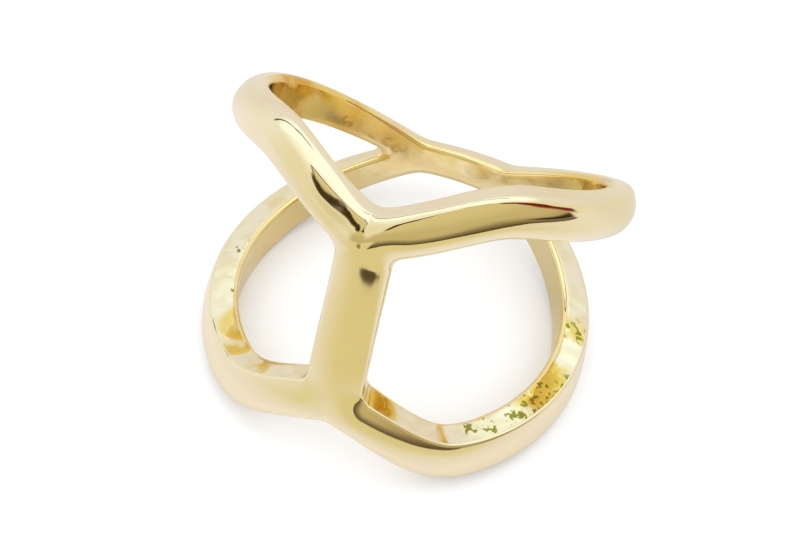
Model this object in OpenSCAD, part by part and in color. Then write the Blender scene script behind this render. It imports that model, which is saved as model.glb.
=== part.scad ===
// Open-cage finger ring, cast in one piece: an upper and a lower band, each bent into a V at the
// front, joined there by one bar and merged into a narrow shank at the back.
// Millimetres. The ring lies as it rests by itself, on the two bowed sides of its lower band.

/* [Finger hole] */
// Diameter of the hole that the finger goes through
bore_d = 17.3; // [15.7:0.1:19.8]
// Thickness of the metal between the hole and the outer face
band_t = 1.78; // [1.6:0.02:2.1]
// Length of the hole's middle stretch, where the bar and the shank stand clear of the finger
relief_h = 6.8; // [6:0.2:7.2]
// How far they stand clear, so that the two bands bear on the finger
relief = 0.04; // [0.02:0.01:0.1]

/* [Bar] */
// Width of the front bar at its face
bar_w = 2.9; // [2.4:0.1:3.4]
// Height of the band's middle line at the front, where the bar meets the V
valley_h = 4.3; // [3.9:0.1:4.7]

/* [Shoulders] */
// Angle round the finger from the bar to each shoulder, the band's highest point
shoulder_a = 33; // [30:1:37]
// Height of the shoulders
shoulder_h = 7.5; // [7:0.1:8]
// Width of the band's face from the bar to the sides
arm_w = 2.2; // [2:0.05:2.4]

/* [Sides and shank] */
// Angle from the bar at which the band starts to fall faster
side_a = 99; // [92:1:105]
// Height of the band there
side_h = 5; // [4.6:0.1:5.4]
// Width of each band's face just before the two merge
strand_w = 1.5; // [1.4:0.05:1.7]
// Angle from the bar at which the two bands have merged
fork_a = 163; // [159:1:166]
// Width of the merged shank's face
shank_w = 2; // [1.9:0.05:2.3]

/* [Blends] */
// Rounding of the V at the bar
valley_blend = 1.1; // [0.9:0.1:1.5]
// Rounding of the shoulders
shoulder_blend = 1.75; // [1.2:0.05:2.5]
// Rounding of the bend at the sides
side_blend = 4.2; // [3:0.1:5]
// Rounding where the band levels out into the shank
fork_blend = 0.5; // [0.4:0.1:1]
// Corner radius of the side windows at the bar
crotch_r = 0.75; // [0.5:0.05:0.9]
// Corner radius of the side windows at the shank
fork_r = 0.45; // [0.35:0.05:0.6]

/* [Cross section] */
// Radius of the long edges of the outer face
edge_r = 0.4; // [0.3:0.02:0.45]
// How far the crowned outer face falls off towards its edges
crown = 0.35; // [0.2:0.05:0.4]
// How far in from an edge the crown reaches
crown_reach = 1.55; // [1.2:0.05:1.7]
// How far the window walls lean in from the face to the finger hole
wall_lean = 0.15; // [0:0.01:0.2]

/* [Resting pose] */
// Angle that the finger hole leans back when the ring lies by itself
lean_back = 17; // [16:0.5:18.5]

/* [Hidden] */
gold = [0.93, 0.83, 0.56];

bore_r = bore_d / 2;
outer_r = bore_r + band_t;
// The outlines are drawn on the unrolled outer face: s runs round it from the bar, h along the finger
deg = PI * outer_r / 180;
half_round = 180 * deg;
shank_h = (shank_w - strand_w) / 2;

// Rows of points along a quarter of the ring: bar, window corner, band, fork, shank
bar_rows = 4;
crotch_rows = 8;
band_rows = 38;
fork_rows = 5;
shank_rows = 4;
first_rim_row = bar_rows + crotch_rows / 2;
last_window_row = bar_rows + crotch_rows + band_rows + fork_rows;
last_row = last_window_row + shank_rows;
// Points across the outer face and across the inner one, which the finger hole cuts away
face_steps = 10;
inner_steps = 2;
// The uncut inner face lies this much inside the finger hole
inner_stock = 0.6;
// Half the step along s over which the rise of the middle line is measured
slope_step = 0.001;
// Rounding of the changes in width
width_blend = 2;
// Length of rim beside the rounded end of a window
fork_run = 1;

// A level line that turns up at d = 0, rounded by r
function hinge(d, r) = (d + sqrt(d * d + r * r)) / 2;
// The same at the angle a on both sides of the bar, so that it runs level across the bar
function bend(s, a, r) = hinge(s - a * deg, r) + hinge(-s - a * deg, r);

// Slope of the band's middle line between two angles
function slope(h_from, a_from, h_to, a_to) = (h_to - h_from) / ((a_to - a_from) * deg);
front_slope = slope(valley_h, 0, shoulder_h, shoulder_a);
side_slope = slope(shoulder_h, shoulder_a, side_h, side_a);
fork_slope = slope(side_h, side_a, shank_h, fork_a);

// Height of the band's middle line at s: straight runs joined by rounded bends
function middle_h(s) = valley_h
    + front_slope * sqrt(s * s + valley_blend * valley_blend)
    + (side_slope - front_slope) * bend(s, shoulder_a, shoulder_blend)
    + (fork_slope - side_slope) * bend(s, side_a, side_blend)
    - fork_slope * bend(s, fork_a, fork_blend);

// Width of the band's face at s: even to the sides, then narrower, then the shank's own strand
function face_w(s) = arm_w
    + (strand_w - arm_w) / ((fork_a - side_a) * deg)
        * (bend(s, side_a, width_blend) - bend(s, fork_a, width_blend));

// Unit vector across the band at s, towards its rim
function across(s) =
    let (rise = (middle_h(s + slope_step) - middle_h(s - slope_step)) / (2 * slope_step))
    [-rise, 1] / sqrt(1 + rise * rise);

// Point on the band's rim (side 1) or window edge (side -1), moved out of the band by extra
function edge_point(s, side, extra = 0) =
    [s, middle_h(s)] + across(s) * side * (face_w(s) / 2 + extra);

// Where f crosses zero between low and high
function crossing(f, low, high, n = 40) =
    let (mid = (low + high) / 2)
    n == 0 ? mid
    : (f(mid) > 0) == (f(low) > 0) ? crossing(f, mid, high, n - 1)
    : crossing(f, low, mid, n - 1);

function on_arc(centre, r, a) = centre + r * [cos(a), sin(a)];

// One pair of points for each row of the quarter, [window edge, rim], with the window edge moved
// into the window by lean. Along the bar the rim point lies on the mirror line, along the shank the
// window point does.
function rows(lean) =
    let (
        half_bar = bar_w / 2 + lean,
        r1 = crotch_r - lean,
        r2 = fork_r - lean,
        s1 = crossing(function(s) edge_point(s, -1, lean + r1).x - half_bar - r1, 0.2, 8),
        s2 = crossing(function(s) edge_point(s, -1, lean + r2).y, 0.6 * half_round, 0.999 * half_round),
        c1 = edge_point(s1, -1, lean + r1),
        c2 = edge_point(s2, -1, lean + r2),
        a1 = atan2(across(s1).y, across(s1).x),
        a2 = atan2(across(s2).y, across(s2).x),
        tip = c2.x + r2,
        s3 = tip - fork_run,
        valley = edge_point(0, 1)
    )
    concat(
        [for (i = [0:bar_rows - 1])
            let (t = i / bar_rows)
            [[half_bar, t * c1.y], [0, t * c1.y]]],
        [for (i = [0:crotch_rows - 1])
            let (t = i / crotch_rows, a = 180 + (a1 - 180) * t)
            [on_arc(c1, r1, a),
             t < 0.5 ? [0, c1.y + (valley.y - c1.y) * 2 * t] : edge_point((2 * t - 1) * s1, 1)]],
        [for (i = [0:band_rows - 1])
            let (t = i / band_rows)
            [edge_point(s1 + (s2 - s1) * t, -1, lean), edge_point(s1 + (s3 - s1) * t, 1)]],
        [for (i = [0:fork_rows - 1])
            let (t = i / fork_rows)
            [on_arc(c2, r2, a2 * (1 - t)), edge_point(s3 + (tip - s3) * t, 1)]],
        [for (i = [0:shank_rows - 1])
            let (s = tip + (half_round - tip) * i / shank_rows)
            [[s, 0], edge_point(s, 1)]],
        [[[half_round, 0], [half_round, edge_point(half_round, 1).y]]]
    );

face_rows = rows(0);
window_edge = [for (i = [0:last_window_row]) face_rows[i][0]];
rim_edge = [for (i = [first_rim_row:last_row]) face_rows[i][1]];

// Distance from p to the line through the points of an edge
function stretch_gap(p, a, b) =
    let (along = b - a, t = (p - a) * along / (along * along))
    norm(p - a - along * min(1, max(0, t)));
function edge_gap(p, edge) = min([for (i = [1:len(edge) - 1]) stretch_gap(p, edge[i - 1], edge[i])]);

// How far the face lies below the outer radius at a distance gap from one edge
function fall(gap) =
    let (u = max(0, 1 - gap / edge_r), v = max(0, 1 - gap / crown_reach))
    edge_r * (1 - sqrt(1 - u * u)) + crown * v * v;

// The same for all four edges: both windows and both rims
function face_depth(p) = fall(edge_gap(p, window_edge)) + fall(edge_gap([-p.x, p.y], window_edge))
    + fall(edge_gap(p, rim_edge)) + fall(edge_gap([p.x, -p.y], rim_edge));

// Rolls a point of the unrolled face up onto radius r, with the bar at the front
function rolled(p, r) = [r * sin(p.x / deg), -r * cos(p.x / deg), p.y];
function eased(j, n) = (1 - cos(180 * j / n)) / 2;
function between(pair, t) = pair[0] + (pair[1] - pair[0]) * t;

// Corner points of one quarter: the outer face, then the inner one
inner_r = bore_r - inner_stock;
wall_h = outer_r - edge_r - crown - bore_r;
inner_rows = rows(wall_lean * (wall_h + inner_stock) / wall_h);
quarter = concat(
    [for (row = face_rows, j = [0:face_steps])
        let (p = between(row, eased(j, face_steps)))
        rolled(p, outer_r - face_depth(p))],
    [for (row = inner_rows, j = [0:inner_steps]) rolled(between(row, j / inner_steps), inner_r)]
);
quarter_size = len(quarter);
face_count = (last_row + 1) * (face_steps + 1);

function face_id(i, j) = i * (face_steps + 1) + j;
function inner_id(i, j) = face_count + i * (inner_steps + 1) + j;

// Four corners for each patch of the quarter, in order round it as seen from outside
patches = concat(
    [for (i = [0:last_row - 1], j = [0:face_steps - 1])
        [face_id(i, j), face_id(i, j + 1), face_id(i + 1, j + 1), face_id(i + 1, j)]],
    [for (i = [0:last_row - 1], j = [0:inner_steps - 1])
        [inner_id(i, j), inner_id(i + 1, j), inner_id(i + 1, j + 1), inner_id(i, j + 1)]],
    [for (i = [0:last_window_row - 1])
        [inner_id(i, 0), face_id(i, 0), face_id(i + 1, 0), inner_id(i + 1, 0)]],
    [for (i = [first_rim_row:last_row - 1])
        [face_id(i, face_steps), inner_id(i, inner_steps),
         inner_id(i + 1, inner_steps), face_id(i + 1, face_steps)]]
);

// The quarter is mirrored left to right and top to bottom. A point on a mirror plane is shared.
mirrors = [[1, 1], [-1, 1], [1, -1], [-1, -1]];
function copy_of(m, id) =
    let (on_x = abs(quarter[id].x) < 0.00001, on_z = abs(quarter[id].z) < 0.00001)
    (m[0] < 0 && !on_x ? 1 : 0) + (m[1] < 0 && !on_z ? 2 : 0);
ring_points = [for (m = mirrors, p = quarter) [m[0] * p.x, p.y, m[1] * p.z]];
function shared(m, ids) = [for (id = ids) copy_of(m, id) * quarter_size + id];
function two_triangles(c) = [[c[0], c[1], c[2]], [c[0], c[2], c[3]]];
function turned(m, t) = m[0] * m[1] > 0 ? t : [t[0], t[2], t[1]];
ring_faces = [for (m = mirrors, patch = patches, t = two_triangles(shared(m, patch))) turned(m, t)];

// The ring lies leant back on a level surface, with its lowest points at z = 0 and its box centred
outline = concat(
    [for (i = [0:face_count - 1]) quarter[i]],
    [for (row = rows(wall_lean), p = row) rolled(p, bore_r)]
);
heights = [for (p = outline) -p.z * cos(lean_back) - p.y * sin(lean_back)];
depths = [for (p = outline, side = [1, -1]) p.y * cos(lean_back) + side * p.z * sin(lean_back)];
rest_z = -min(heights);
rest_y = -(min(depths) + max(depths)) / 2;

module cast_body() {
    polyhedron(points = ring_points, faces = ring_faces, convexity = 8);
}

module finger_hole() {
    cylinder(r = bore_r, h = 4 * shoulder_h, center = true, $fn = 180);
    cylinder(r = bore_r + relief, h = relief_h, center = true, $fn = 180);
}

module ring() {
    color(gold)
    translate([0, rest_y, rest_z])
    rotate([-lean_back, 0, 0])
    difference() {
        cast_body();
        finger_hole();
    }
}

ring();
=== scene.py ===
"""Open-cage finger ring of polished gold, lying by itself on a pale table in soft studio light."""
import math

import bpy
import numpy as np
from mathutils import Matrix, Vector


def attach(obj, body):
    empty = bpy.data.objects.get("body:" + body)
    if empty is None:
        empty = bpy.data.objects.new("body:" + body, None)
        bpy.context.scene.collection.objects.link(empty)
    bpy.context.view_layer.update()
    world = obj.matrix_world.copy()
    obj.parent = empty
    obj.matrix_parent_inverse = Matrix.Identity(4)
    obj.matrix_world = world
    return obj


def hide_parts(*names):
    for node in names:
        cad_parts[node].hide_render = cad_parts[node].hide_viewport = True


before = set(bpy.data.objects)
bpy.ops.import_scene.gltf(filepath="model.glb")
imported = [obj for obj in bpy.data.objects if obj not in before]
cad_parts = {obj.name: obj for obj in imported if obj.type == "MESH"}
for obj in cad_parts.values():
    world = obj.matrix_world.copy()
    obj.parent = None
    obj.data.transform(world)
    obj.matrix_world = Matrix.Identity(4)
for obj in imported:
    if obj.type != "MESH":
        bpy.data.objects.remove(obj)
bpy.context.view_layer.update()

# A millimetre in metres
MM = 0.001

# Sizes of the ring in millimetres and degrees, as the solid has them
BORE_R = 8.65
BAND_T = 1.78
BAR_W = 2.9
VALLEY_H = 4.3
SHOULDER_A = 33
SHOULDER_H = 7.5
ARM_W = 2.2
SIDE_A = 99
SIDE_H = 5
STRAND_W = 1.5
FORK_A = 163
SHANK_W = 2
VALLEY_BLEND = 1.1
SHOULDER_BLEND = 1.75
SIDE_BLEND = 4.2
FORK_BLEND = 0.5
WIDTH_BLEND = 2
CROTCH_R = 0.75
FORK_R = 0.45
WALL_LEAN = 0.15
LEAN_BACK = math.radians(17)

OUTER_R = BORE_R + BAND_T
DEG = math.pi * OUTER_R / 180
HALF_ROUND = 180 * DEG
SHANK_H = (SHANK_W - STRAND_W) / 2
# Rounding of the edges inside the finger hole
INNER_EDGE_R = 0.3
# How far the bar's walls draw in towards the finger hole
BAR_DRAW = 0.2
# Polishing leaves each long edge with its own rounding: radius, then the fall and the reach of the
# crowned face next to it, in the lower band, in the upper band's right arm and in its left one
WINDOW_ROUNDING = ((0.12, 0.25, 1.6), (0.4, 0.45, 1.5), (0.4, 0.45, 1.5))
RIM_ROUNDING = ((0.35, 0.2, 0.8), (0.2, 0.5, 1.6), (0.4, 0.85, 1.7))
# Height and sine of the angle over which one rounding passes into the next
HEIGHT_BLEND, TURN_BLEND = 3.5, 0.3
# Steps of the mesh along the bar, the window's corner at it, the band, the fork and the shank
STEPS = (16, 20, 220, 18, 16)
# Steps across each face and each wall
FACE_STEPS, WALL_STEPS = 34, 8
# How much finer the edge lines are, from which the roundings are measured
EDGE_FINENESS = 12
# Points nearer than this are welded
WELD = 1e-5
# The ring's parts, as numbers in the mesh's finish attribute
FACE, RIM_WALL, WINDOW_WALL, HOLE = range(4)
# The crease where the two polished arms meet under the valley: how sharp it is, how wide the
# valley's own rounding still shows beside it, and how far along the arms it is felt
CREASE_R, CREASE_W, CREASE_REACH = 0.15, 1.5, 4
# A low swelling left down the fold at the foot of the left arm: its middle round the ring and up it,
# its half-width and half-length, the slant of its length in radians and its height
SWELL_S, SWELL_H = 0.24, 4.98
SWELL_W, SWELL_L, SWELL_SLANT, SWELL_RISE = 0.52, 1.91, -1.04, 0.114


# The ring's surface

def hinge(d, r):
    """A level line that turns up at d = 0, rounded by r: (d + sqrt(d^2 + r^2)) / 2."""
    return (d + np.sqrt(d * d + r * r)) / 2


def bend(s, angle, r):
    """The hinge at an angle on both sides of the bar, so that it is even in s."""
    return hinge(s - angle * DEG, r) + hinge(-s - angle * DEG, r)


def slope(h_from, a_from, h_to, a_to):
    """Rise of the middle line for each millimetre round the ring, between two angles."""
    return (h_to - h_from) / ((a_to - a_from) * DEG)


FRONT_SLOPE = slope(VALLEY_H, 0, SHOULDER_H, SHOULDER_A)
SIDE_SLOPE = slope(SHOULDER_H, SHOULDER_A, SIDE_H, SIDE_A)
FORK_SLOPE = slope(SIDE_H, SIDE_A, SHANK_H, FORK_A)


def middle_h(s):
    """Height of the band's middle line at s: straight runs joined by rounded hinges."""
    return (VALLEY_H + FRONT_SLOPE * np.sqrt(s * s + VALLEY_BLEND ** 2)
            + (SIDE_SLOPE - FRONT_SLOPE) * bend(s, SHOULDER_A, SHOULDER_BLEND)
            + (FORK_SLOPE - SIDE_SLOPE) * bend(s, SIDE_A, SIDE_BLEND)
            - FORK_SLOPE * bend(s, FORK_A, FORK_BLEND))


def face_w(s):
    """Width of the band's face at s: even to the sides, then narrower up to the fork."""
    narrowing = bend(s, SIDE_A, WIDTH_BLEND) - bend(s, FORK_A, WIDTH_BLEND)
    return ARM_W + (STRAND_W - ARM_W) / ((FORK_A - SIDE_A) * DEG) * narrowing


def across(s, step=0.001):
    """Unit vector square to the middle line at s, towards the rim."""
    rise = (middle_h(s + step) - middle_h(s - step)) / (2 * step)
    return np.stack([-rise, np.ones_like(rise)], -1) / np.sqrt(1 + rise * rise)[..., None]


def edge_point(s, side, extra=0.0):
    """Middle line at s plus half the width and extra, out to the rim (side 1) or the window (-1)."""
    s = np.asarray(s, float)
    middle = np.stack([s, middle_h(s)], -1)
    return middle + across(s) * (side * (face_w(s) / 2 + extra))[..., None]


def crossing(f, low, high, halvings=50):
    """Where f changes sign between low and high, by halving the span."""
    for _ in range(halvings):
        mid = (low + high) / 2
        if (f(mid) > 0) == (f(low) > 0):
            low = mid
        else:
            high = mid
    return (low + high) / 2


def arc(centre, r, angles):
    """Points at the given angles on a circle."""
    return centre + r * np.stack([np.cos(angles), np.sin(angles)], -1)


def rows(counts, lean=0.0, draw=0.0):
    """Pairs of points (window edge, rim) along a quarter of the unrolled ring, from the bar's middle
    to the shank's middle. The window edge is bar side, corner arc, band, fork arc; lean moves it into
    the window and draw pulls it back along the bar. Along the bar the rim point lies on the mirror
    line, along the shank the window does."""
    n_bar, n_crotch, n_band, n_fork, n_shank = counts
    half_bar, r1, r2 = BAR_W / 2 + lean - draw, CROTCH_R - lean, FORK_R - lean
    # The window's corner at the bar lies in the front quarter, its corner at the fork past the side
    s1 = crossing(lambda s: edge_point(s, -1, lean + r1)[0] - half_bar - r1, 0.2, HALF_ROUND / 4)
    s2 = crossing(lambda s: edge_point(s, -1, lean + r2)[1], 0.6 * HALF_ROUND, 0.999 * HALF_ROUND)
    c1, c2 = edge_point(s1, -1, lean + r1), edge_point(s2, -1, lean + r2)
    a1 = math.atan2(across(s1)[1], across(s1)[0])
    a2 = math.atan2(across(s2)[1], across(s2)[0])
    tip = c2[0] + r2
    # The rim's share of the fork's steps begins a millimetre before the window's tip
    s3 = tip - 1
    valley = edge_point(0.0, 1)[1]
    t = [np.arange(n) / n for n in (n_bar, n_crotch, n_band, n_fork)]
    t.append(np.arange(n_shank + 1) / n_shank)
    shank_s = tip + (HALF_ROUND - tip) * t[4]
    window = np.concatenate([
        np.stack([np.full(n_bar, half_bar), t[0] * c1[1]], -1),
        arc(c1, r1, math.pi + (a1 - math.pi) * t[1]),
        edge_point(s1 + (s2 - s1) * t[2], -1, lean),
        arc(c2, r2, a2 * (1 - t[3])),
        np.stack([shank_s, 0 * shank_s], -1)])
    # Opposite the corner's first half the rim point climbs to the valley, then it follows the rim
    to_valley = np.stack([0 * t[1], c1[1] + (valley - c1[1]) * np.minimum(1, 2 * t[1])], -1)
    past_valley = edge_point(np.maximum(0, 2 * t[1] - 1) * s1, 1)
    rim = np.concatenate([
        np.stack([0 * t[0], t[0] * c1[1]], -1),
        np.where((t[1] < 0.5)[:, None], to_valley, past_valley),
        edge_point(s1 + (s3 - s1) * t[2], 1),
        edge_point(s3 + (tip - s3) * t[3], 1),
        edge_point(shank_s, 1)])
    # The last point has to lie on the mirror line exactly
    rim[-1, 0] = HALF_ROUND
    first_rim = n_bar + n_crotch // 2
    last_window = n_bar + n_crotch + n_band + n_fork
    return window, rim, first_rim, last_window


def edge_gap(p, edge, stride=10, reach=14, lots=24):
    """Distance from each point to a finely divided edge line: the nearest of every tenth corner
    first, a lot of points at a time, then the nearest of the short stretches round it."""
    flat = p.reshape(-1, 2)
    coarse = edge[::stride]
    near = np.concatenate([
        ((lot[:, None] - coarse[None]) ** 2).sum(-1).argmin(1) for lot in np.array_split(flat, lots)])
    at = np.clip(near[:, None] * stride + np.arange(-reach, reach), 0, len(edge) - 2)
    a, b = edge[at], edge[at + 1]
    along = b - a
    t = ((flat[:, None] - a) * along).sum(-1) / (along * along).sum(-1)
    gap = np.linalg.norm(flat[:, None] - a - along * np.clip(t, 0, 1)[..., None], axis=-1)
    return gap.min(1).reshape(p.shape[:-1])


def quarter_round(gap, r):
    """Fall at an edge rounded by radius r: r (1 - sqrt(1 - (1 - gap / r)^2))."""
    u = np.clip(1 - gap / r, 0, 1)
    return r * (1 - np.sqrt(np.maximum(0, 1 - u * u)))


def smooth_share(u):
    """0 below -1, 1 above 1, and 3 v^2 - 2 v^3 between them."""
    v = np.clip((u + 1) / 2, 0, 1)
    return v * v * (3 - 2 * v)


def worn_edge(gap, upper, left, roundings):
    """Quarter-round plus a square-law crown. Radius, fall and reach pass from the lower band's
    values to the right arm's and the left arm's with the shares upper and left."""
    r, crown, reach = (low + (right + (far - right) * left - low) * upper
                       for low, right, far in zip(*roundings))
    gap, crown_gap = gap
    return quarter_round(gap, r) + crown * np.maximum(1 - crown_gap / reach, 0) ** 2


def creased(p, gap):
    """Distance to the rim, and the same with the mitre between the arms: near the bar it is measured
    square to each arm's own line instead of to the rounded valley."""
    s, h = p[..., 0], p[..., 1]
    round_v, sharp_v = np.sqrt(s * s + VALLEY_BLEND ** 2), np.sqrt(s * s + CREASE_R ** 2)
    lift = (VALLEY_BLEND - CREASE_R) * np.exp(-(s / CREASE_W) ** 2)
    tilt = math.sqrt(1 + FRONT_SLOPE ** 2)
    rim_h = middle_h(s) + FRONT_SLOPE * (sharp_v + lift - round_v) + face_w(s) / 2 * tilt
    near = np.exp(-(s / CREASE_REACH) ** 4)
    return gap, gap + ((rim_h - h) / tilt - gap) * near


def swelling(p):
    """Rise of the face in the swelling: rise exp(-(u / w)^2 - (v / l)^2), u across it and v along."""
    s, h = p[..., 0] - SWELL_S, p[..., 1] - SWELL_H
    c, d = math.cos(SWELL_SLANT), math.sin(SWELL_SLANT)
    return SWELL_RISE * np.exp(-((s * c + h * d) / SWELL_W) ** 2 - ((h * c - s * d) / SWELL_L) ** 2)


# Mirroring the unrolled plane from left to right, and from top to bottom
FLIP_S, FLIP_H = np.array([-1, 1]), np.array([1, -1])


def four_gaps(p, window, rim):
    """Distances to both windows' edges and both rims."""
    return [edge_gap(p, window), edge_gap(p * FLIP_S, window), edge_gap(p, rim), edge_gap(p * FLIP_H, rim)]


def whole_edges(window, rim, first_rim, last_window):
    """The window's edge and the rim as lines that run on across the mirror planes."""
    w, r = window[:last_window + 1], rim[first_rim:]
    low_w, left_r = w[1:][::-1] * FLIP_H, r[1:][::-1] * FLIP_S
    return np.concatenate([low_w, w]), np.concatenate([left_r, r])


def rolled(p, r):
    """Rolls the unrolled plane up onto radius r, with the bar at the front: (r sin a, -r cos a, h),
    where a is s / OUTER_R."""
    a = p[..., 0] / OUTER_R
    return np.stack([r * np.sin(a), -r * np.cos(a), p[..., 1]], -1)


def ring_patches():
    """For each quarter four patches of points, as if it were the right upper one: the crowned outer
    face, the finger hole's face with rounded edges, and the window and rim walls straight between.
    Across a face the steps shorten towards both edges: t = (1 - cos(pi n / N)) / 2."""
    window, rim, first_rim, last_window = rows(STEPS)
    fine = [EDGE_FINENESS * n for n in STEPS]
    edges = whole_edges(*rows(fine))
    inner_edges = whole_edges(*rows(fine, WALL_LEAN, BAR_DRAW))
    window_in, rim_in, _, _ = rows(STEPS, WALL_LEAN, BAR_DRAW)
    t = (1 - np.cos(np.pi * np.linspace(0, 1, FACE_STEPS + 1))) / 2
    p = window[:, None] + (rim - window)[:, None] * t[None, :, None]
    q = window_in[:, None] + (rim_in - window_in)[:, None] * t[None, :, None]
    gaps, inner_gaps = four_gaps(p, *edges), four_gaps(q, *inner_edges)
    hole = rolled(q, BORE_R + sum(quarter_round(g, INNER_EDGE_R) for g in inner_gaps))
    u = np.linspace(0, 1, WALL_STEPS + 1)[None, :, None]
    quarters = []
    angle = p[..., 0] / OUTER_R
    rim_gaps = [creased(p, gaps[2]), creased(p * FLIP_H, gaps[3])]
    for side in (1, -1):
        upper = smooth_share(side * p[..., 1] / HEIGHT_BLEND)
        for mirror in (1, -1):
            left = smooth_share(-mirror * np.sin(angle) / TURN_BLEND)
            fall = (sum(worn_edge((g, g), upper, left, WINDOW_ROUNDING) for g in gaps[:2])
                    + sum(worn_edge(g, upper, left, RIM_ROUNDING) for g in rim_gaps))
            face = rolled(p, OUTER_R - fall + swelling(p * [mirror, side]))
            window_wall = face[:last_window + 1, :1] * (1 - u) + hole[:last_window + 1, :1] * u
            rim_wall = face[first_rim:, -1:] * (1 - u) + hole[first_rim:, -1:] * u
            quarters.append((mirror, side, (face, hole, window_wall, rim_wall)))
    return quarters


def laid_down(v):
    """Turns the upright ring back by its resting angle, centres it from front to back and sets its
    lowest point on z = 0."""
    c, s = math.cos(LEAN_BACK), math.sin(LEAN_BACK)
    laid = np.stack([v[:, 0], v[:, 1] * c + v[:, 2] * s, v[:, 2] * c - v[:, 1] * s], -1)
    low, high = laid.min(0), laid.max(0)
    return laid - [0, (low[1] + high[1]) / 2, low[2]]


def ring_mesh(name):
    """The four quarters, mirrored into place, with their seams welded and their faces outwards. The
    finish attribute says which part of the ring a face is on."""
    verts, quads, finish = [], [], []
    start = 0
    for mx, mz, patches in ring_patches():
        for patch, turn, part in zip(patches, (-1, 1, 1, -1), (FACE, HOLE, WINDOW_WALL, RIM_WALL)):
            n, m = patch.shape[:2]
            verts.append((patch * [mx, 1, mz]).reshape(-1, 3))
            i = start + np.arange(n * m).reshape(n, m)
            quad = np.stack([i[:-1, :-1], i[:-1, 1:], i[1:, 1:], i[1:, :-1]], -1).reshape(-1, 4)
            quads.append(quad if mx * mz * turn > 0 else quad[:, ::-1])
            finish.append(np.full(len(quad), part))
            start += n * m
    verts = np.concatenate(verts)
    quads, finish = np.concatenate(quads), np.concatenate(finish)
    key = np.round(verts / WELD).astype(np.int64)
    _, first, same = np.unique(key, axis=0, return_index=True, return_inverse=True)
    quads = same.reshape(-1)[quads]
    # A face with one side welded shut becomes a triangle, and one with two sides shut is left out
    folded = (quads == np.roll(quads, 1, axis=1)).sum(1)
    quads, finish, folded = quads[folded < 2], finish[folded < 2], folded[folded < 2]
    points = laid_down(verts[first]) * MM
    faces = quads[folded == 0].tolist() + [list(dict.fromkeys(q)) for q in quads[folded == 1].tolist()]
    finish = np.concatenate([finish[folded == 0], finish[folded == 1]])
    mesh = bpy.data.meshes.new(name)
    mesh.from_pydata(points.tolist(), [], faces)
    mesh.attributes.new("finish", "FLOAT", "FACE").data.foreach_set("value", finish.astype(np.float32))
    mesh.polygons.foreach_set("use_smooth", np.ones(len(faces), bool))
    mesh.update()
    return mesh


# Materials

class Graph:
    """A node tree and short ways to add to it."""

    def __init__(self, tree):
        self.nodes, self.links = tree.nodes, tree.links

    def put(self, socket, value):
        """Links a socket to another, or sets its value."""
        if isinstance(value, bpy.types.NodeSocket):
            self.links.new(value, socket)
        else:
            socket.default_value = value

    def add(self, kind, **inputs):
        """Adds a node; names in inputs are its sockets' names with _ for a space."""
        node = self.nodes.new(kind)
        for name, value in inputs.items():
            self.put(node.inputs[name.replace("_", " ")], value)
        return node

    def place(self):
        """Object coordinates in millimetres."""
        node = self.add("ShaderNodeVectorMath", Vector=self.add("ShaderNodeTexCoord").outputs["Object"])
        node.operation = "SCALE"
        self.put(node.inputs["Scale"], 1 / MM)
        return node.outputs[0]

    def distance(self, place, point=(0, 0, 0)):
        """How far a place is from a point."""
        node = self.add("ShaderNodeVectorMath", Vector=place)
        node.operation = "DISTANCE"
        self.put(node.inputs[1], point)
        return node.outputs["Value"]

    def noise(self, place, scale, detail, roughness, distortion=0.0):
        """Noise round 0.5, whose largest grains are about 1 / scale across."""
        return self.add("ShaderNodeTexNoise", Vector=place, Scale=scale, Detail=detail,
                        Roughness=roughness, Distortion=distortion).outputs[0]

    def math(self, operation, a, b=0.0):
        """One step of arithmetic."""
        node = self.nodes.new("ShaderNodeMath")
        node.operation = operation
        self.put(node.inputs[0], a)
        self.put(node.inputs[1], b)
        return node.outputs[0]

    def plus(self, first, *others):
        """Sum of values."""
        for other in others:
            first = self.math("ADD", first, other)
        return first

    def times(self, first, *others):
        """Product of values; of shares, where all of them hold."""
        for other in others:
            first = self.math("MULTIPLY", first, other)
        return first

    def ramp(self, value, span, start=0.0, end=1.0):
        """Smooth passage over the span from the start to the end."""
        node = self.nodes.new("ShaderNodeMapRange")
        node.interpolation_type = "SMOOTHSTEP"
        for i, v in enumerate((value, *span, start, end)):
            self.put(node.inputs[i], v)
        return node.outputs[0]

    def fade(self, value, span):
        """Smooth passage over the span from 1 to 0."""
        return self.ramp(value, span, 1.0, 0.0)

    def blend(self, share, a, b):
        """Number a, passing into number b as the share goes from 0 to 1. The node's sockets 2 and 3
        are the numbers."""
        node = self.nodes.new("ShaderNodeMix")
        node.data_type = "FLOAT"
        for i, v in ((0, share), (2, a), (3, b)):
            self.put(node.inputs[i], v)
        return node.outputs[0]

    def mix(self, share, a, b, blend_type="MIX"):
        """Colour a, passing into colour b as the share goes from 0 to 1, or into a times b with the
        blend type MULTIPLY. The node's sockets 6 and 7 are the colours."""
        node = self.nodes.new("ShaderNodeMix")
        node.data_type, node.blend_type = "RGBA", blend_type
        self.put(node.inputs[0], share)
        self.put(node.inputs[6], a if isinstance(a, bpy.types.NodeSocket) else (*a, 1))
        self.put(node.inputs[7], b if isinstance(b, bpy.types.NodeSocket) else (*b, 1))
        return node.outputs[2]


def new_material(name):
    """A material's node tree as a graph, and its shader."""
    mat = bpy.data.materials.new(name)
    mat.use_nodes = True
    g = Graph(mat.node_tree)
    return mat, g, g.nodes["Principled BSDF"]


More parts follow.
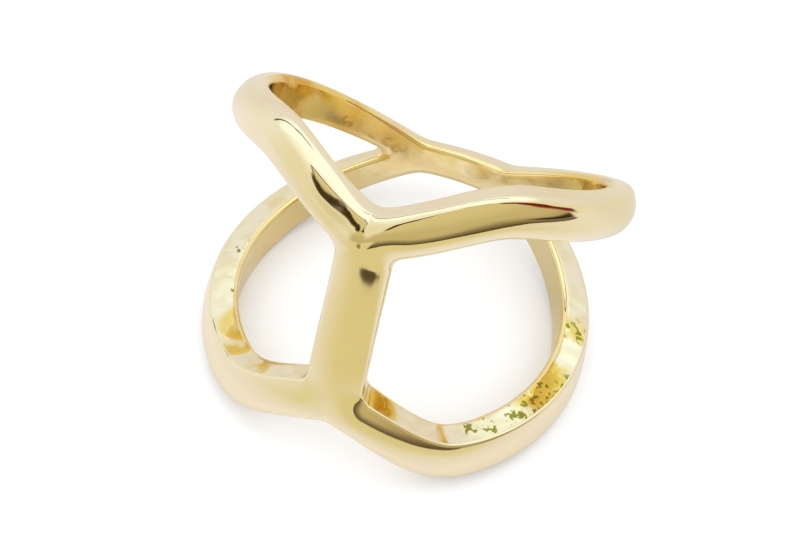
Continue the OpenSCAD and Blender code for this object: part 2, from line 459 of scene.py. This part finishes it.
# Gold in a lighter and a deeper tone, on the polished face, the window walls, the finger hole's front
# and its rear, where the darker, deeper gold is painted shade, then what ripples the rear and what stains
# and pits the window walls
FACE_GOLD = (0.92, 0.835, 0.60), (0.90, 0.80, 0.56)
WALL_GOLD = (0.92, 0.85, 0.63), (0.88, 0.79, 0.52)
FRONT_GOLD = (0.96, 0.85, 0.53), (0.92, 0.76, 0.39)
REAR_GOLD_PAINTED_SHADE = (0.90, 0.68, 0.24), (0.74, 0.43, 0.08)
RIPPLE_COLOUR, STAIN_COLOUR, PIT_COLOUR = (0.90, 0.70, 0.20), (0.80, 0.59, 0.13), (0.30, 0.27, 0.03)
# How deeply the ripple colours the rear
RIPPLE_SHARE = 0.6
# Where the painted shade of the finger hole's rear sets in, out from the middle, backwards and upwards
REAR_OUT, REAR_BACK, REAR_UP = (3, 7.5), (-1, 2), (3, 5.5)
# Where the window walls are stained and where they are pitted, as middles and reaches, and how much
# more likely both are there
STAINS = (((-5.9, -7.7, 2.5), 1.4), ((-4.2, -9.1, 3.5), 1.6), ((9.2, -3.2, 2.3), 3.6),
          ((2.3, -9.2, 4.5), 1.5))
PITS = (((6.8, -7.3, 2.5), 1.3), ((8.6, -4.7, 2.3), 2.4), ((-8.9, -1.4, 2.3), 1.4),
        ((-8.2, -4.2, 2.4), 1.7))
STAIN_PULL, PIT_PULL = 0.30, 0.40
# Least and greatest roughness of the face, of the satin rim walls and of the walls left as cast
FACE_ROUGH, SATIN_ROUGH, CAST_ROUGH = (0.03, 0.06), (0.09, 0.16), (0.07, 0.16)
# Height of the unevenness, its waves' strength on the window walls and in the hole, and the shares of
# ripple and grain in it
UNEVEN = 0.04
WALL_WAVES, HOLE_WAVES, RIPPLE_IN_WAVES, GRAIN_IN_WAVES = 2.4, 1.4, 0.3, 0.10


def spots(g, place, middles):
    """1 in the middle of each spot, fading to 0 at its reach."""
    share = 0.0
    for middle, reach in middles:
        share = g.math("MAXIMUM", share, g.fade(g.distance(place, middle), (0, reach)))
    return share


def gold_material():
    """Gold: polished on the face, satin on the rim walls, and left as cast on the window walls and in
    the finger hole, which are gently wavy. The window walls are stained and pitted in places. The finger
    hole's rear has painted shade: a darker, deeper gold."""
    mat, g, shader = new_material("polished_gold")
    place = g.place()
    part = g.add("ShaderNodeAttribute")
    part.attribute_name = "finish"
    satin, cast, hole = (g.math("GREATER_THAN", part.outputs["Fac"], first - 0.5)
                         for first in (RIM_WALL, WINDOW_WALL, HOLE))
    specks = g.noise(place, 3.4, 1.0, 0.5)
    grain = g.noise(place, 1.5, 2.0, 0.5)
    ripple = g.noise(place, 0.7, 2.0, 0.5, 0.4)
    waves = g.noise(place, 0.23, 2.0, 0.45, 0.5)
    wisps = g.noise(place, 0.14, 3.0, 0.55)

    stained = g.plus(waves, g.times(spots(g, place, STAINS), STAIN_PULL))
    stains = g.times(g.ramp(stained, (0.62, 0.72)), g.ramp(ripple, (0.32, 0.50)))
    pitted = g.plus(waves, wisps, g.times(spots(g, place, PITS), PIT_PULL))
    pits = g.times(g.ramp(pitted, (1.22, 1.30)), g.ramp(specks, (0.56, 0.62)))

    face_gold = g.mix(g.ramp(wisps, (0.35, 0.7)), *FACE_GOLD)
    wall_gold = g.mix(g.ramp(ripple, (0.4, 0.6)), *WALL_GOLD)
    wall_gold = g.mix(stains, wall_gold, STAIN_COLOUR)
    wall_gold = g.mix(pits, wall_gold, PIT_COLOUR)
    depth = g.ramp(waves, (0.4, 0.6))
    # Painted shade: the finger hole's rear, back and up inside the ring, is painted a darker, deeper gold
    rear_gold_painted_shade = g.mix(depth, *REAR_GOLD_PAINTED_SHADE)
    rear_gold_painted_shade = g.mix(g.times(g.ramp(ripple, (0.50, 0.64)), RIPPLE_SHARE), rear_gold_painted_shade, RIPPLE_COLOUR)
    x, y, z = g.add("ShaderNodeSeparateXYZ", Vector=place).outputs
    rear = g.times(g.ramp(g.math("ABSOLUTE", x), REAR_OUT), g.ramp(y, REAR_BACK), g.ramp(z, REAR_UP))
    hole_gold = g.mix(rear, g.mix(depth, *FRONT_GOLD), rear_gold_painted_shade)
    g.put(shader.inputs["Base Color"], g.mix(hole, g.mix(cast, face_gold, wall_gold), hole_gold))
    shader.inputs["Metallic"].default_value = 1

    face_rough = g.ramp(wisps, (0.3, 0.7), *FACE_ROUGH)
    satin_rough = g.ramp(grain, (0.3, 0.7), *SATIN_ROUGH)
    cast_rough = g.ramp(grain, (0.35, 0.65), *CAST_ROUGH)
    g.put(shader.inputs["Roughness"], g.blend(cast, g.blend(satin, face_rough, satin_rough), cast_rough))

    swell = g.times(g.plus(waves, g.times(ripple, RIPPLE_IN_WAVES)), g.blend(hole, WALL_WAVES, HOLE_WAVES))
    height = g.times(cast, g.plus(swell, g.times(grain, GRAIN_IN_WAVES)))
    bump = g.add("ShaderNodeBump", Height=height, Distance=UNEVEN * MM, Strength=1.0)
    g.put(shader.inputs["Normal"], bump.outputs[0])
    return mat


# What the polished gold sees, by azimuth (0 in front, 90 on the right) and elevation in degrees, and
# on the table by millimetres from the ring's middle. A pair of numbers is the span over which one
# tone passes into the next.

# The tan card is painted reflection where it lies on the table in front of the ring, painted for glossy
# rays only, and stands up behind in the studio's light: its foot's colours from left to right, its colours
# further up, and its dark and dark red edges
CARD_FOOT = (0.60, 0.48, 0.23), (0.36, 0.275, 0.115)
CARD_LOW, CARD_HIGH, CARD_CROWN = (0.61, 0.515, 0.265), (0.73, 0.635, 0.335), (0.86, 0.81, 0.60)
CARD_DARK, CARD_RED = (0.05, 0.028, 0.007), (0.20, 0.015, 0.006)
# How far the card's dark near edge, a painted shadow line in the table's painted reflection, lies from the
# ring's middle, by azimuth
CARD_EDGE = ((0, 51.4), (8, 49), (16, 46.7), (24, 43.9), (30, 42.4), (36, 39.5), (44, 38), (53, 46),
             (66, 80), (86, 120), (100, 190))
# How fast the dark near edge passes into tan
CARD_SHADE = 0.85
# The card's left side lying on the table, low and high where it stands, and its right side
CARD_LYING_LEFT, CARD_LOW_LEFT, CARD_HIGH_LEFT, CARD_RIGHT = (-7, -4), (-34, -17), (-23, -21), (98, 102)
# Its top is level as far as the corner, then falls by so much for each degree
CARD_TOP, CARD_CORNER, CARD_FALL = 68.0, 35.0, 0.92
# The table as the camera sees it, then the painted reflection that the gold sees instead: painted lighter
# close to the ring, further out, behind it, and with painted warm shade in front, all dimmed by the same
# factor
TABLE_WHITE = (0.94, 0.955, 0.985)
TABLE_NEAR, TABLE_FAR = (1.07, 1.04, 1.06), (0.96, 0.93, 0.94)
TABLE_REAR, TABLE_WARM_SHADE = (0.84, 0.80, 0.74), (0.78, 0.70, 0.38)
TABLE_DIM = 0.74
# White light, then the studio's walls on the left, in front and behind, its ceiling and its brightest
STUDIO_WHITE = (1.35, 1.35, 1.36)
WALL_LEFT, WALL_FRONT = (0.93, 0.93, 0.88), (0.88, 0.825, 0.635)
WALL_REAR = (0.84, 0.79, 0.75), (0.88, 0.86, 0.87)
CEILING, BRIGHTEST = (1.09, 1.10, 1.02), (1.12, 1.22, 1.22)
# A dark line across the bright back follows the lower of two straight lines, each with its rise for
# each degree and its height at azimuth 0
BACK_LINES = ((-0.56, -25.8), (-0.12, 41.6))


def bearings(g, way):
    """Azimuth of a direction or place in degrees."""
    x, y, _ = g.add("ShaderNodeSeparateXYZ", Vector=way).outputs
    return g.math("DEGREES", g.math("ARCTAN2", x, g.times(y, -1.0)))


def card_foot(g, az):
    """The card's tan where it meets the table, darker to the right."""
    return g.mix(g.ramp(az, (10, 54)), *CARD_FOOT)


def card_colour(g, az, el):
    """Tan, paler further up."""
    low = g.mix(g.ramp(el, (-5, 16)), card_foot(g, az), CARD_LOW)
    high = g.mix(g.ramp(el, (18, 40)), low, CARD_HIGH)
    return g.mix(g.ramp(el, (52, 72)), high, CARD_CROWN)


def card_edge(g, az, most_az=100.0, most=200.0):
    """Distance to the card's near edge, by a smooth curve through CARD_EDGE. The curve's own sides
    run from 0 to 1."""
    node = g.add("ShaderNodeFloatCurve", Value=g.math("DIVIDE", az, most_az))
    ends = [(a / most_az, d / most) for a, d in CARD_EDGE]
    points = node.mapping.curves[0].points
    for end in ends[1:-1]:
        points.new(*end)
    points[0].location, points[len(ends) - 1].location = ends[0], ends[-1]
    node.mapping.update()
    return g.times(node.outputs[0], most)


def table_material():
    """Smooth white card. Glossy rays see a painted reflection on it instead: warmer in front, and the tan
    card.
    """
    mat, g, shader = new_material("white_card_painted_reflection")
    place = g.place()
    az, away = bearings(g, place), g.distance(place)
    near = g.math("DIVIDE", card_edge(g, az), away)
    # Painted reflection, for glossy rays only: the tan card on the table, with a painted shadow line at
    # its near edge
    card = g.mix(g.math("POWER", near, CARD_SHADE), card_foot(g, az), CARD_DARK)
    on_card = g.times(g.ramp(az, CARD_LYING_LEFT), g.fade(az, CARD_RIGHT), g.fade(near, (0.97, 1.0)))
    white = g.mix(g.ramp(away, (11, 18)), TABLE_NEAR, TABLE_FAR)
    white = g.mix(g.ramp(g.math("ABSOLUTE", az), (100, 130)), white, TABLE_REAR)
    # Painted shade in the painted reflection: warmer and darker in front of the ring
    warm_shade = g.times(g.ramp(away, (13, 30)), g.ramp(az, (-80, -5)), g.ramp(az, (30, 110), 1.0, 0.25))
    mirrored = g.mix(on_card, g.mix(warm_shade, white, TABLE_WARM_SHADE), card)
    mirrored = g.mix(1.0, mirrored, [TABLE_DIM] * 3, "MULTIPLY")
    # Glossy rays see the painted reflection, the camera and diffuse light see the white table
    in_gold = g.add("ShaderNodeLightPath").outputs["Is Glossy Ray"]
    g.put(shader.inputs["Base Color"], g.mix(in_gold, TABLE_WHITE, mirrored))
    shader.inputs["Roughness"].default_value = 0.8
    shader.inputs["Specular IOR Level"].default_value = 0.05
    return mat


# Light and camera

def bare_studio(g, az, el):
    """The walls, cream in front and greyer behind, brightening to the ceiling, behind most of all."""
    turned = g.math("ABSOLUTE", az)
    walls = g.mix(g.ramp(az, (-90, -45)), WALL_LEFT, WALL_FRONT)
    walls = g.mix(g.ramp(turned, (95, 140)), walls, g.mix(g.ramp(el, (2, 26)), *WALL_REAR))
    front = g.mix(g.ramp(el, (38, 76)), walls, CEILING)
    rear = g.mix(g.ramp(el, (36, 52)), walls, BRIGHTEST)
    sky = g.mix(g.ramp(turned, (80, 100)), front, rear)
    return g.mix(g.ramp(el, (76, 82)), sky, BRIGHTEST)


def with_card(g, sky, az, el):
    """The card stands before the sky. Its left side is soft low down and sharp higher up, its right
    foot is dark, and a dark red line follows its top, thickest on the right."""
    past_corner = g.math("MAXIMUM", g.math("SUBTRACT", az, CARD_CORNER), 0.0)
    above = g.math("SUBTRACT", el, g.plus(CARD_TOP, g.times(past_corner, -CARD_FALL)))
    high_left, right = g.ramp(az, CARD_HIGH_LEFT), g.fade(az, CARD_RIGHT)
    left = g.blend(g.ramp(el, (24, 38)), g.ramp(az, CARD_LOW_LEFT), high_left)
    sky = g.mix(g.times(left, right, g.fade(above, (0, 2))), sky, card_colour(g, az, el))
    sky = g.mix(g.times(g.ramp(az, (56, 78)), right, g.fade(el, (2.5, 6))), sky, CARD_DARK)
    thicker_below = g.times(g.ramp(az, (38, 60), 0.0, 3.0), g.ramp(az, (80, 95), 1.0, 0.3))
    thicker_above = g.times(g.ramp(az, (48, 60), 0.0, 10.0), g.fade(az, (82, 95)))
    line = g.times(g.ramp(g.plus(above, thicker_below), (-3, -0.5)),
                   g.fade(g.math("SUBTRACT", above, thicker_above), (1, 3)))
    return g.mix(g.times(line, high_left, g.fade(az, (103, 106))), sky, CARD_RED)


def with_left_edge(g, sky, az, el):
    """The card's dark left edge, broad low down and thin higher up."""
    aside = g.math("ABSOLUTE", g.plus(az, g.ramp(el, (40, 50), 20.5, 22.0)))
    broad = g.times(g.fade(aside, (2.2, 3.6)), g.ramp(el, (35, 38)), g.fade(el, (48, 54)))
    thin = g.times(g.fade(aside, (0.6, 1.4)), g.ramp(el, (46, 50)), g.fade(el, (66, 72)))
    return g.mix(g.math("MAXIMUM", broad, thin), sky, CARD_DARK)


def with_back_line(g, sky, az, el):
    """The dark line across the bright back. Its azimuth runs on leftwards past -180."""
    az = g.math("SUBTRACT", g.math("FLOORED_MODULO", az, 360.0), 360.0)
    steep, gentle = (g.plus(g.times(az, rise), height) for rise, height in BACK_LINES)
    off = g.math("ABSOLUTE", g.math("SUBTRACT", el, g.math("MINIMUM", steep, gentle)))
    line = g.times(g.ramp(az, (-203, -188)), g.fade(az, (-112, -101)), g.fade(off, (1.2, 2.4)))
    return g.mix(line, sky, CARD_DARK)


def studio_light():
    """Plain white light all round. Polished metal sees the studio in it: a bright ceiling, a softly
    grey back, a cream front left, and to the front right the tan card with its dark edges."""
    world = bpy.context.scene.world or bpy.data.worlds.new("studio")
    bpy.context.scene.world = world
    world.use_nodes = True
    g = Graph(world.node_tree)
    way = g.add("ShaderNodeTexCoord").outputs["Generated"]
    az = bearings(g, way)
    el = g.math("DEGREES", g.math("ARCSINE", g.add("ShaderNodeSeparateXYZ", Vector=way).outputs["Z"]))
    sky = bare_studio(g, az, el)
    for addition in (with_card, with_left_edge, with_back_line):
        sky = addition(g, sky, az, el)
    in_gold = g.add("ShaderNodeLightPath").outputs["Is Glossy Ray"]
    background = g.nodes["Background"]
    g.put(background.inputs["Color"], g.mix(in_gold, STUDIO_WHITE, sky))
    background.inputs["Strength"].default_value = 1.0


# The photograph's camera round the upright ring: its elevation, turn and roll in degrees, then how far
# away, to the right and up it stands
CAMERA_EL, CAMERA_TURN, CAMERA_ROLL = 31.147, 12.368, 13.12
CAMERA_AWAY, CAMERA_RIGHT, CAMERA_UP = 60.95, -0.814, -1.747
CAMERA_LENS, CAMERA_FILM = 52.4, 36
# Where the upright ring's middle comes to lie
RING_MIDDLE = (0, 0.7133, 5.8377)


def photo_camera():
    """The camera at the photograph's angle. Its place is worked out on the upright ring, then laid
    back with it."""
    el, turn, roll = math.radians(CAMERA_EL), math.radians(CAMERA_TURN), math.radians(CAMERA_ROLL)
    back = Vector((math.sin(turn) * math.cos(el), -math.cos(turn) * math.cos(el), math.sin(el)))
    level = Vector((math.cos(turn), math.sin(turn), 0))
    rise = back.cross(level)
    right = math.cos(roll) * level + math.sin(roll) * rise
    up = -math.sin(roll) * level + math.cos(roll) * rise
    place = CAMERA_AWAY * back + CAMERA_RIGHT * right + CAMERA_UP * up
    lay = Matrix.Rotation(-LEAN_BACK, 3, "X")
    turned = Matrix((lay @ right, lay @ up, lay @ back)).transposed().to_4x4()
    turned.translation = (lay @ place + Vector(RING_MIDDLE)) * MM
    camera = bpy.data.objects.new("camera", bpy.data.cameras.new("camera"))
    camera.data.lens, camera.data.sensor_width = CAMERA_LENS, CAMERA_FILM
    camera.data.clip_start, camera.data.clip_end = 0.001, 10
    camera.matrix_world = turned
    bpy.context.collection.objects.link(camera)
    bpy.context.scene.camera = camera


# Pieces

ring = bpy.data.objects.new("open_cage_ring", ring_mesh("open_cage_ring"))
bpy.context.collection.objects.link(ring)
ring.data.materials.append(gold_material())
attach(ring, "root")
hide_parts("ring")

# The table reaches a metre to each side
floor_mesh = bpy.data.meshes.new("table_top")
floor_mesh.from_pydata([(-1, -1, 0), (1, -1, 0), (1, 1, 0), (-1, 1, 0)], [], [(0, 1, 2, 3)])
floor = bpy.data.objects.new("table_top", floor_mesh)
bpy.context.collection.objects.link(floor)
floor.data.materials.append(table_material())

studio_light()
bpy.context.scene.view_settings.view_transform = "Standard"
photo_camera()
